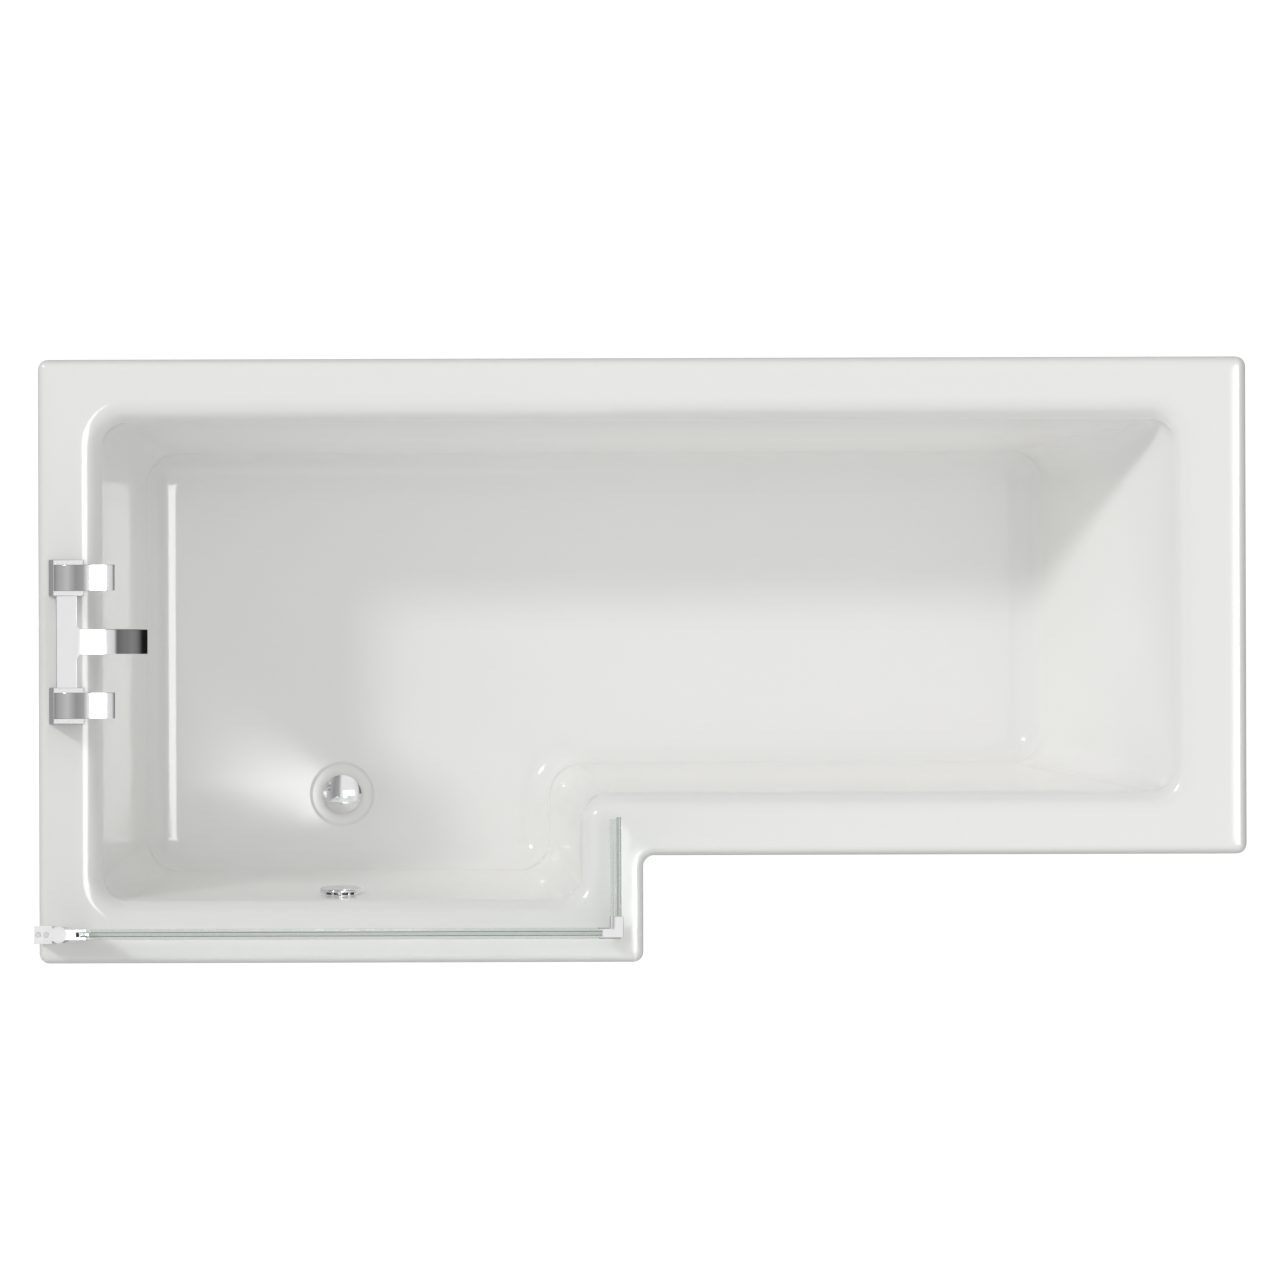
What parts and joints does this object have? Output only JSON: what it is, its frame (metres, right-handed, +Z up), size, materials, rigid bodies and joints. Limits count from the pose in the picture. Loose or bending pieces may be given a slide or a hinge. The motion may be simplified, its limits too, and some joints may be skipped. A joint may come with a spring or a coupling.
{
  "type": "l-shaped shower bath",
  "caption": "White acrylic shower bath, wider at the shower end, with a deck bath filler, pop-up waste, hinged glass screen, front panel and adjustable feet.",
  "frame": {"origin": "on the floor, under the middle of the 1700 by 850 mm outline", "axes": "+X along the bath from the tap end to the head end, +Y towards the back wall, +Z up"},
  "size_m": [1.7, 0.85, 1.964],
  "materials": {
    "acrylic": "gloss white acrylic",
    "board": "raw particle board",
    "timber": "planed softwood",
    "zinc_steel": "bright zinc",
    "black_plastic": "moulded black",
    "chrome": "polished",
    "brass": "turned",
    "white_plastic": "moulded white",
    "grey_plastic": "moulded light grey",
    "rubber": "soft black",
    "anodised": "bright anodised",
    "steel_screw": "stainless",
    "clear_glass": "clear toughened",
    "clear_seal": "clear soft strip"
  },
  "bodies": {
    "bath": {"bath_shell": "acrylic", "front_panel": "acrylic", "base_board": "board", "rim_batten_back": "timber", "rim_batten_head": "timber", "rim_batten_narrow": "timber", "rim_batten_wide": "timber", "panel_batten_wide": "timber", "panel_batten_narrow": "timber", "cradle_rail_tap": "zinc_steel", "cradle_rail_middle": "zinc_steel", "cradle_rail_head": "zinc_steel", "leg_nuts": "zinc_steel", "wall_brackets": "zinc_steel", "bracket_screws": "zinc_steel", "waste_flange": "chrome", "overflow_cover": "chrome", "tap_body": "chrome", "tap_spout": "chrome", "panel_screws": "chrome", "tap_tails": "brass", "tap_back_nuts": "brass", "valve_cartridges": "brass", "waste_body": "white_plastic", "trap_nut": "white_plastic", "trap_body": "white_plastic", "overflow_body": "white_plastic", "overflow_pipe": "white_plastic", "plug_catch": "grey_plastic", "flow_insert": "grey_plastic", "pivot_arms": "grey_plastic", "waste_seal": "rubber", "overflow_seal": "rubber", "tap_base_seals": "rubber", "wall_profile": "anodised", "profile_screws": "steel_screw"},
    "screen": {"glass_carrier": "anodised", "screen_glass": "clear_glass", "return_glass": "clear_glass", "corner_brackets": "grey_plastic", "screen_seal": "clear_seal", "return_seal": "clear_seal"},
    "lever_left": {"lever_left": "chrome"},
    "lever_right": {"lever_right": "chrome"},
    "plug": {"waste_plug": "chrome"},
    "foot_tap_front": {"leg_rod_tap_front": "zinc_steel", "foot_pad_tap_front": "black_plastic"},
    "foot_tap_back": {"leg_rod_tap_back": "zinc_steel", "foot_pad_tap_back": "black_plastic"},
    "foot_middle_front": {"leg_rod_middle_front": "zinc_steel", "foot_pad_middle_front": "black_plastic"},
    "foot_middle_back": {"leg_rod_middle_back": "zinc_steel", "foot_pad_middle_back": "black_plastic"},
    "foot_head_front": {"leg_rod_head_front": "zinc_steel", "foot_pad_head_front": "black_plastic"},
    "foot_head_back": {"leg_rod_head_back": "zinc_steel", "foot_pad_head_back": "black_plastic"}
  },
  "joints": [
    {"name": "screen_hinge", "type": "hinge", "parent": "bath", "child": "screen", "pos_m": [-0.8158, -0.3847, 1.263], "axis": [0, 0, 1], "range_deg": [-90, 60]},
    {"name": "lever_left_turn", "type": "hinge", "parent": "bath", "child": "lever_left", "pos_m": [-0.8105, 0.1173, 0.626], "axis": [0, 0, 1], "range_deg": [0, 90]},
    {"name": "lever_right_turn", "type": "hinge", "parent": "bath", "child": "lever_right", "pos_m": [-0.8105, -0.0627, 0.626], "axis": [0, 0, 1], "range_deg": [-90, 0]},
    {"name": "plug_push", "type": "slide", "parent": "bath", "child": "plug", "axis": [0, 0, 1], "range_m": [0, 0.008]},
    {"name": "foot_tap_front_screw", "type": "slide", "parent": "bath", "child": "foot_tap_front", "axis": [0, 0, 1], "range_m": [-0.02, 0.02]},
    {"name": "foot_tap_back_screw", "type": "slide", "parent": "bath", "child": "foot_tap_back", "axis": [0, 0, 1], "range_m": [-0.02, 0.02]},
    {"name": "foot_middle_front_screw", "type": "slide", "parent": "bath", "child": "foot_middle_front", "axis": [0, 0, 1], "range_m": [-0.02, 0.02]},
    {"name": "foot_middle_back_screw", "type": "slide", "parent": "bath", "child": "foot_middle_back", "axis": [0, 0, 1], "range_m": [-0.02, 0.02]},
    {"name": "foot_head_front_screw", "type": "slide", "parent": "bath", "child": "foot_head_front", "axis": [0, 0, 1], "range_m": [-0.02, 0.02]},
    {"name": "foot_head_back_screw", "type": "slide", "parent": "bath", "child": "foot_head_back", "axis": [0, 0, 1], "range_m": [-0.02, 0.02]}
  ]
}
